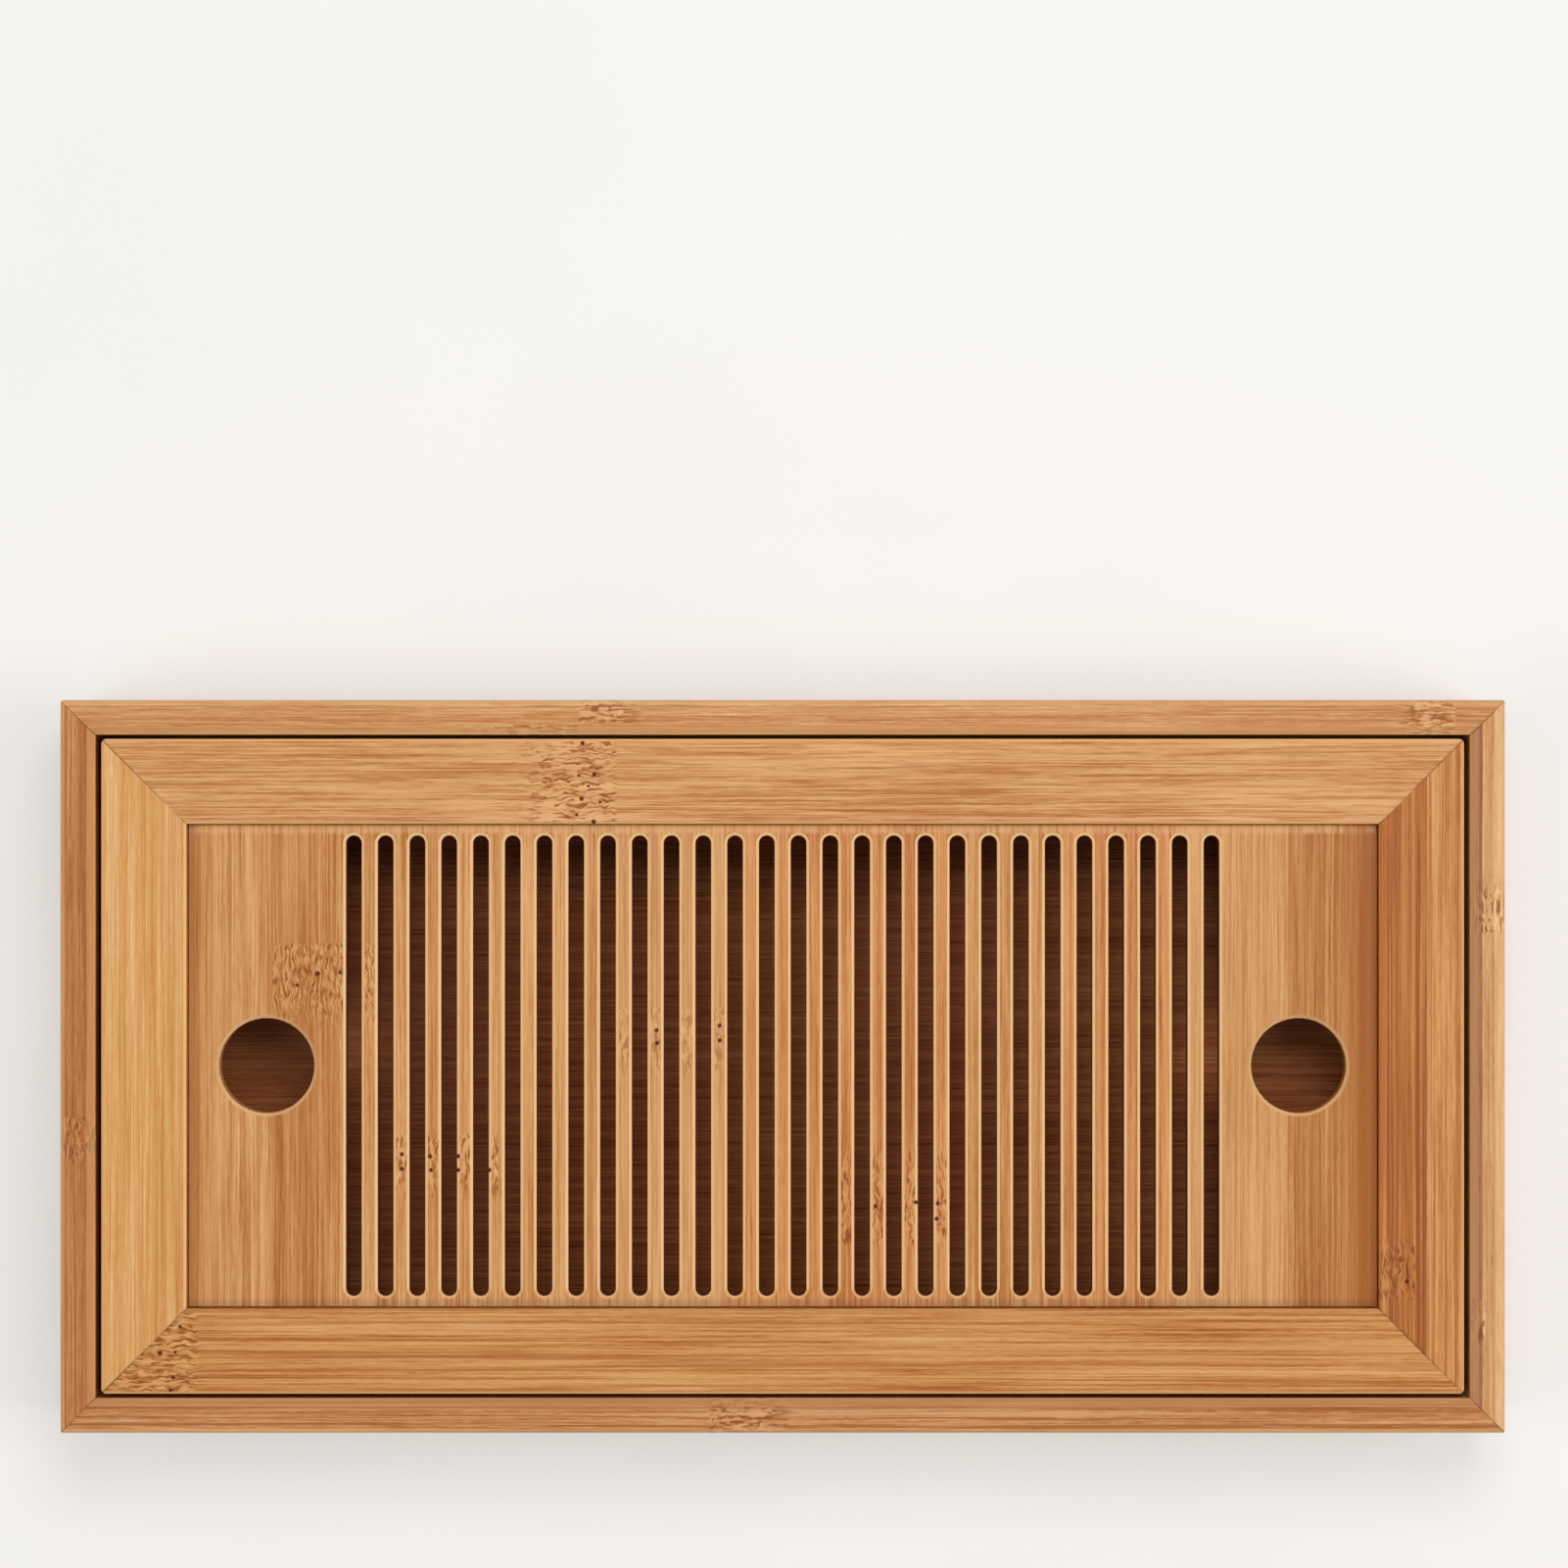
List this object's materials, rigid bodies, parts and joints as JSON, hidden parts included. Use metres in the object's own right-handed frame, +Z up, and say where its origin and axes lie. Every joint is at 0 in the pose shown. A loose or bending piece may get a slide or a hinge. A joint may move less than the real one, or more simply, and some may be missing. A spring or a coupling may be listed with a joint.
{
  "type": "tea tray",
  "caption": "Oblong bamboo tea tray: a mitred case that catches waste water under a lift-out framed lid with parallel drain slots and finger holes.",
  "frame": {"origin": "on the table under the middle of the tray, at the bottom centre of its box", "axes": "+X along the tray's length, +Y to its back edge, +Z up out of the slotted lid"},
  "size_m": [0.272, 0.138, 0.035],
  "materials": {
    "case_bamboo": "satin lacquered bamboo",
    "frame_bamboo": "satin lacquered bamboo",
    "board_bamboo": "satin lacquered bamboo",
    "base_bamboo": "satin lacquered dark bamboo",
    "inner_bamboo": "matt bamboo",
    "foot_rubber": "matt rubber"
  },
  "bodies": {
    "case": {"case_front_wall": "case_bamboo", "case_back_wall": "case_bamboo", "case_left_wall": "case_bamboo", "case_right_wall": "case_bamboo", "case_base_board": "base_bamboo", "ledge_front": "inner_bamboo", "ledge_back": "inner_bamboo", "ledge_left": "inner_bamboo", "ledge_right": "inner_bamboo", "case_spline_front_left": "inner_bamboo", "case_spline_front_right": "inner_bamboo", "case_spline_back_left": "inner_bamboo", "case_spline_back_right": "inner_bamboo", "foot_front_left": "foot_rubber", "foot_front_right": "foot_rubber", "foot_back_left": "foot_rubber", "foot_back_right": "foot_rubber"},
    "lid": {"lid_front_rail": "frame_bamboo", "lid_back_rail": "frame_bamboo", "lid_left_stile": "frame_bamboo", "lid_right_stile": "frame_bamboo", "lid_slotted_board": "board_bamboo", "lid_spline_front_left": "inner_bamboo", "lid_spline_front_right": "inner_bamboo", "lid_spline_back_left": "inner_bamboo", "lid_spline_back_right": "inner_bamboo"}
  },
  "joints": [
    {"name": "lid_lift", "type": "slide", "parent": "case", "child": "lid", "axis": [0, 0, 1], "range_m": [0, 0.05]}
  ]
}
